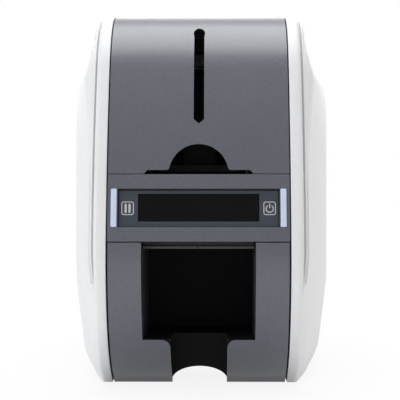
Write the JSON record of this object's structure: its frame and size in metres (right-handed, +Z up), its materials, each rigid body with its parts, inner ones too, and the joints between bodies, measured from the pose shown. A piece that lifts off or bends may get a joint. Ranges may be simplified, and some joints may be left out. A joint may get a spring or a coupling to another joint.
{
  "type": "card printer",
  "caption": "Desktop card printer with an arched hopper cover, hinged lid, recessed control panel and sliding output hopper between flared side covers.",
  "frame": {"origin": "centre of the bounding box at the foot plane", "axes": "+Z up, front faces -Y, +X to the right as seen from the front"},
  "size_m": [0.173, 0.368, 0.224],
  "materials": {
    "white_shell": "smooth satin",
    "grey_shell": "fine spark texture",
    "black_plastic": "fine matt",
    "panel_blue": "satin",
    "window": "dark gloss",
    "light_guide": "frosted",
    "steel": "zinc plated",
    "rubber": "matt",
    "board": "solder mask",
    "gear": "natural acetal",
    "film": "thin film",
    "belt": "matt",
    "heatsink": "extruded",
    "motor": "satin",
    "ceramic": "glazed"
  },
  "bodies": {
    "chassis": {"base_tray": "steel", "card_guides": "black_plastic", "control_bezel": "grey_shell", "data_ports": "steel", "display_module": "steel", "display_panel": "panel_blue", "display_window": "window", "drive_belt": "belt", "exit_lip": "black_plastic", "fan_frame": "black_plastic", "hinge_bridges": "black_plastic", "hinge_pins": "steel", "input_magazine": "black_plastic", "left_side_cover": "white_shell", "left_side_plate": "steel", "light_bars": "light_guide", "main_board": "board", "main_motor": "motor", "panel_board": "board", "power_inlet": "black_plastic", "rear_panel": "grey_shell", "rear_screws": "steel", "ribbon_cassette": "black_plastic", "ribbon_film": "film", "right_side_cover": "white_shell", "right_side_plate": "steel", "rubber_feet": "rubber", "small_motors": "motor", "tie_bars": "steel"},
    "hopper_cover": {"hopper_cover": "grey_shell"},
    "lid": {"top_cover": "grey_shell", "print_head": "ceramic", "head_bracket": "black_plastic", "head_heatsink": "heatsink"},
    "lid_latch": {"lid_latch": "black_plastic"},
    "output_hopper": {"output_hopper": "grey_shell", "hopper_tray": "black_plastic"},
    "pause_button": {"pause_button": "panel_blue"},
    "power_button": {"power_button": "panel_blue"},
    "card_weight": {"card_weight": "black_plastic"},
    "pick_roller": {"pick_roller": "rubber"},
    "feed_roller": {"feed_roller": "rubber", "feed_gear": "gear"},
    "transport_roller": {"transport_roller": "rubber"},
    "platen_roller": {"platen_roller": "rubber"},
    "rear_roller": {"rear_roller": "rubber"},
    "exit_roller": {"exit_roller": "rubber", "exit_gear": "gear"},
    "feed_pinch_roller": {"feed_pinch_roller": "steel"},
    "exit_pinch_roller": {"exit_pinch_roller": "steel"},
    "motor_pulley": {"motor_pulley": "gear"},
    "cleaning_roller": {"cleaning_roller": "rubber"},
    "takeup_spool": {"takeup_spool": "film", "takeup_gear": "gear"},
    "ribbon_pinion": {"ribbon_pinion": "gear"},
    "supply_spool": {"supply_spool": "film"},
    "card_turner": {"card_turner": "black_plastic", "turner_gear": "gear"},
    "turner_pinion": {"turner_pinion": "gear"},
    "fan_rotor": {"fan_rotor": "black_plastic"}
  },
  "joints": [
    {"name": "hopper_cover_hinge", "type": "hinge", "parent": "chassis", "child": "hopper_cover", "pos_m": [0, -0.0858, 0.2202], "axis": [-1, 0, 0], "range_deg": [0, 95]},
    {"name": "lid_hinge", "type": "hinge", "parent": "chassis", "child": "lid", "pos_m": [0, 0.153, 0.2154], "axis": [-1, 0, 0], "range_deg": [0, 75]},
    {"name": "lid_latch_slide", "type": "slide", "parent": "lid", "child": "lid_latch", "axis": [0, 1, 0], "range_m": [0, 0.0035], "stiffness_N_per_m": 200},
    {"name": "output_hopper_slide", "type": "slide", "parent": "chassis", "child": "output_hopper", "axis": [0, -1, 0], "range_m": [0, 0.09]},
    {"name": "pause_button_press", "type": "slide", "parent": "chassis", "child": "pause_button", "axis": [0, 0.9829, -0.184], "range_m": [0, 0.0006], "stiffness_N_per_m": 600},
    {"name": "power_button_press", "type": "slide", "parent": "chassis", "child": "power_button", "axis": [0, 0.9829, -0.184], "range_m": [0, 0.0006], "stiffness_N_per_m": 600},
    {"name": "card_weight_slide", "type": "slide", "parent": "chassis", "child": "card_weight", "axis": [0, 0, 1], "range_m": [0, 0.055]},
    {"name": "feed_roller_spin", "type": "hinge", "parent": "chassis", "child": "feed_roller", "pos_m": [0, -0.056, 0.118], "axis": [1, 0, 0], "continuous": true},
    {"name": "pick_roller_spin", "type": "hinge", "parent": "chassis", "child": "pick_roller", "pos_m": [0, -0.108, 0.118], "axis": [1, 0, 0], "continuous": true},
    {"name": "transport_roller_spin", "type": "hinge", "parent": "chassis", "child": "transport_roller", "pos_m": [0, -0.012, 0.118], "axis": [1, 0, 0], "continuous": true},
    {"name": "platen_roller_spin", "type": "hinge", "parent": "chassis", "child": "platen_roller", "pos_m": [0, 0.032, 0.118], "axis": [1, 0, 0], "continuous": true},
    {"name": "rear_roller_spin", "type": "hinge", "parent": "chassis", "child": "rear_roller", "pos_m": [0, 0.08, 0.118], "axis": [1, 0, 0], "continuous": true},
    {"name": "exit_roller_spin", "type": "hinge", "parent": "chassis", "child": "exit_roller", "pos_m": [0, -0.056, 0.076], "axis": [1, 0, 0], "continuous": true},
    {"name": "feed_pinch_spin", "type": "hinge", "parent": "chassis", "child": "feed_pinch_roller", "pos_m": [0, -0.056, 0.1329], "axis": [1, 0, 0], "continuous": true},
    {"name": "exit_pinch_spin", "type": "hinge", "parent": "chassis", "child": "exit_pinch_roller", "pos_m": [0, -0.056, 0.0909], "axis": [1, 0, 0], "continuous": true},
    {"name": "motor_spin", "type": "hinge", "parent": "chassis", "child": "motor_pulley", "pos_m": [0, 0.012, 0.082], "axis": [1, 0, 0], "continuous": true},
    {"name": "cleaning_roller_spin", "type": "hinge", "parent": "chassis", "child": "cleaning_roller", "pos_m": [0, -0.034, 0.1344], "axis": [1, 0, 0], "continuous": true},
    {"name": "takeup_spin", "type": "hinge", "parent": "chassis", "child": "takeup_spool", "pos_m": [0, -0.012, 0.165], "axis": [1, 0, 0], "continuous": true},
    {"name": "ribbon_motor_spin", "type": "hinge", "parent": "chassis", "child": "ribbon_pinion", "pos_m": [0, -0.032, 0.165], "axis": [1, 0, 0], "continuous": true},
    {"name": "supply_spin", "type": "hinge", "parent": "chassis", "child": "supply_spool", "pos_m": [0, 0.078, 0.163], "axis": [1, 0, 0], "continuous": true},
    {"name": "card_turner_swing", "type": "hinge", "parent": "chassis", "child": "card_turner", "pos_m": [0, 0.134, 0.105], "axis": [1, 0, 0], "range_deg": [0, 180]},
    {"name": "turner_motor_spin", "type": "hinge", "parent": "chassis", "child": "turner_pinion", "pos_m": [0, 0.106, 0.105], "axis": [1, 0, 0], "range_deg": [-450, 0]},
    {"name": "fan_spin", "type": "hinge", "parent": "chassis", "child": "fan_rotor", "pos_m": [0, 0.173, 0.173], "axis": [0, 1, 0], "continuous": true}
  ],
  "couplings": [
    {"joint": "pick_roller_spin", "follows": "feed_roller_spin", "ratio": 1},
    {"joint": "transport_roller_spin", "follows": "feed_roller_spin", "ratio": 1},
    {"joint": "platen_roller_spin", "follows": "feed_roller_spin", "ratio": 1},
    {"joint": "rear_roller_spin", "follows": "feed_roller_spin", "ratio": 1},
    {"joint": "exit_roller_spin", "follows": "feed_roller_spin", "ratio": -1},
    {"joint": "feed_pinch_spin", "follows": "feed_roller_spin", "ratio": -1.3333},
    {"joint": "exit_pinch_spin", "follows": "feed_roller_spin", "ratio": 1.3333},
    {"joint": "motor_spin", "follows": "feed_roller_spin", "ratio": 1.3333},
    {"joint": "ribbon_motor_spin", "follows": "takeup_spin", "ratio": -1.5},
    {"joint": "turner_motor_spin", "follows": "card_turner_swing", "ratio": -2.5}
  ]
}
